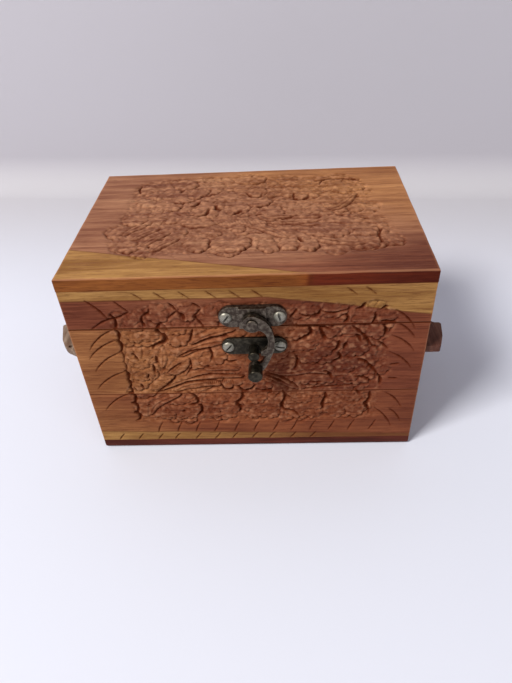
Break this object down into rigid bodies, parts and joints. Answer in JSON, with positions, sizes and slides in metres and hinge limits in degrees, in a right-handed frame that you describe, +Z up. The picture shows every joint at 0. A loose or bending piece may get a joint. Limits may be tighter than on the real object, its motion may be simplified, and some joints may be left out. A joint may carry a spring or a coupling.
{
  "type": "carved wooden keepsake box",
  "caption": "Small carved wooden box with a hinged lid, a horn-shaped swing latch on the front and a wooden lift handle on each side.",
  "frame": {"origin": "centre of the flat underside that the box rests on", "axes": "+Z up, +X along the box's length to the right as seen from the latch side, -Y out of the front where the latch is, +Y towards the hinges"},
  "size_m": [0.176, 0.1157, 0.1016],
  "materials": {
    "carved_wood": "carved and thinly waxed rosewood, dark stain in the cuts",
    "lid_wood": "carved and thinly waxed rosewood with a strip of golden sapwood",
    "bottom_wood": "plain dark red-brown board, waxed",
    "handle_wood": "plain sanded wood, greyed by handling",
    "latch_metal": "blackened bronze-brown, rubbed bright on the edges",
    "screw_steel": "zinc-plated, slightly dull",
    "nail_steel": "bare wire nail, browned",
    "hinge_brass": "tarnished brass"
  },
  "bodies": {
    "body": {"bottom_board": "bottom_wood", "body_front_lower": "carved_wood", "body_front_upper": "carved_wood", "body_back_lower": "carved_wood", "body_back_upper": "carved_wood", "body_left_lower": "carved_wood", "body_left_upper": "carved_wood", "body_right_lower": "carved_wood", "body_right_upper": "carved_wood", "side_handle_left": "handle_wood", "side_handle_right": "handle_wood", "handle_nails": "nail_steel", "catch_plate": "latch_metal", "catch_stud": "latch_metal", "catch_screws": "screw_steel", "hinge_leaf_body_left": "hinge_brass", "hinge_leaf_body_right": "hinge_brass", "hinge_pin_left": "hinge_brass", "hinge_pin_right": "hinge_brass", "hinge_screws_body": "hinge_brass"},
    "lid": {"lid_top_board": "lid_wood", "lid_front_rail": "carved_wood", "lid_back_rail": "carved_wood", "lid_left_rail": "carved_wood", "lid_right_rail": "carved_wood", "hasp_plate": "latch_metal", "hasp_rivet": "latch_metal", "hasp_screws": "screw_steel", "hinge_leaf_lid_left": "hinge_brass", "hinge_leaf_lid_right": "hinge_brass", "hinge_screws_lid": "hinge_brass"},
    "hook": {"hasp_hook": "latch_metal", "hook_knob": "latch_metal"}
  },
  "joints": [
    {"name": "lid_hinge", "type": "hinge", "parent": "body", "child": "lid", "pos_m": [0, 0.0517, 0.0761], "axis": [-1, 0, 0], "range_deg": [0, 105]},
    {"name": "hook_swing", "type": "hinge", "parent": "lid", "child": "hook", "pos_m": [0.0026, -0.0569, 0.0815], "axis": [0, -1, 0], "range_deg": [0, 100]}
  ]
}
